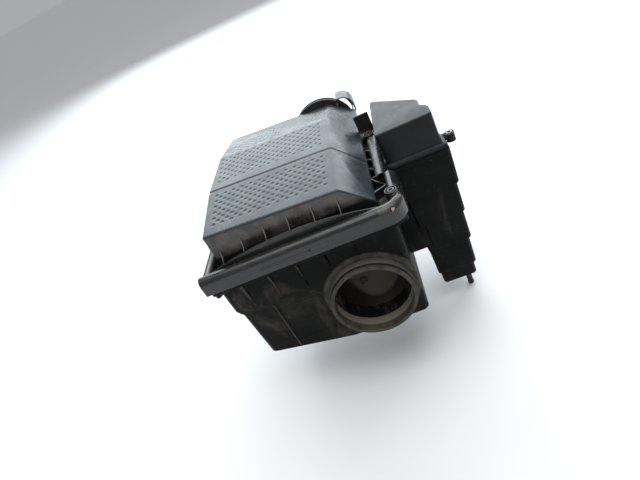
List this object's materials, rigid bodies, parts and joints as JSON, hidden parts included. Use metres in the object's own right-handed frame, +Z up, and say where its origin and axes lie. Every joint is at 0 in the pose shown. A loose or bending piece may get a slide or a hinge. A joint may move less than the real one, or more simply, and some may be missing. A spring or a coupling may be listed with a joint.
{
  "type": "air filter housing",
  "caption": "Air filter box with round inlet, lift-off dimpled cover, panel filter, side resonator and rear outlet with flow sensor.",
  "frame": {"origin": "centre of the inlet collar's mouth", "axes": "+Z up along the lift of the cover, -Y out of the inlet's mouth, +X towards the resonator"},
  "size_m": [0.4005, 0.39, 0.3586],
  "materials": {
    "case_plastic": "moulded black polypropylene, dusty satin",
    "skirt_plastic": "moulded black polypropylene, satin with dust",
    "cover_plastic": "slate grey satin polypropylene, slightly dusty",
    "gloss_duct": "smooth glossy black",
    "rubber": "dull black rubber",
    "brass": "plain turned brass",
    "steel": "zinc plated steel, dull",
    "filter_paper": "folded resin-treated paper",
    "filter_frame": "moulded polyurethane, matt",
    "grid_plastic": "plain black plastic",
    "sensor_plastic": "glass-filled black plastic",
    "screw_steel": "black zinc plated steel, worn"
  },
  "bodies": {
    "case": {"case_shell": "case_plastic", "inlet_seal": "rubber", "inlet_trough": "gloss_duct", "screw_inserts": "brass", "resonator_neck": "case_plastic", "resonator_body": "case_plastic", "resonator_foot": "case_plastic", "resonator_cover": "cover_plastic", "resonator_drain": "rubber", "case_drain": "rubber", "eye_grommet": "rubber", "eye_sleeves": "steel", "peg_boots": "rubber"},
    "filter_element": {"filter_pleats": "filter_paper", "filter_frame": "filter_frame", "filter_grid": "grid_plastic"},
    "cover": {"cover_skirt": "skirt_plastic", "cover_top": "cover_plastic", "sensor_hood": "cover_plastic", "outlet_tube": "case_plastic", "outlet_seal": "rubber", "outlet_screws": "steel", "flow_sensor": "sensor_plastic", "sensor_seal": "rubber", "sensor_screws": "steel", "flow_grid": "grid_plastic"},
    "screw_1": {"cover_screw_1": "screw_steel"},
    "screw_2": {"cover_screw_2": "screw_steel"},
    "screw_3": {"cover_screw_3": "screw_steel"},
    "screw_4": {"cover_screw_4": "screw_steel"},
    "screw_5": {"cover_screw_5": "screw_steel"}
  },
  "joints": [
    {"name": "cover_lift", "type": "slide", "parent": "case", "child": "cover", "axis": [0, 0, 1], "range_m": [0, 0.3]},
    {"name": "filter_lift", "type": "slide", "parent": "case", "child": "filter_element", "axis": [0, 0, 1], "range_m": [0, 0.135]},
    {"name": "screw_1_turn", "type": "hinge", "parent": "cover", "child": "screw_1", "pos_m": [0.081, 0.041, 0.12], "axis": [0, 0, 1], "continuous": true},
    {"name": "screw_2_turn", "type": "hinge", "parent": "cover", "child": "screw_2", "pos_m": [0.0705, 0.228, 0.12], "axis": [0, 0, 1], "continuous": true},
    {"name": "screw_3_turn", "type": "hinge", "parent": "cover", "child": "screw_3", "pos_m": [-0.19479, 0.086, 0.12], "axis": [0, 0, 1], "continuous": true},
    {"name": "screw_4_turn", "type": "hinge", "parent": "cover", "child": "screw_4", "pos_m": [-0.19144, 0.15, 0.12], "axis": [0, 0, 1], "continuous": true},
    {"name": "screw_5_turn", "type": "hinge", "parent": "cover", "child": "screw_5", "pos_m": [-0.18808, 0.214, 0.12], "axis": [0, 0, 1], "continuous": true}
  ],
  "couplings": [
    {"joint": "filter_lift", "follows": "cover_lift", "ratio": 0.45}
  ]
}
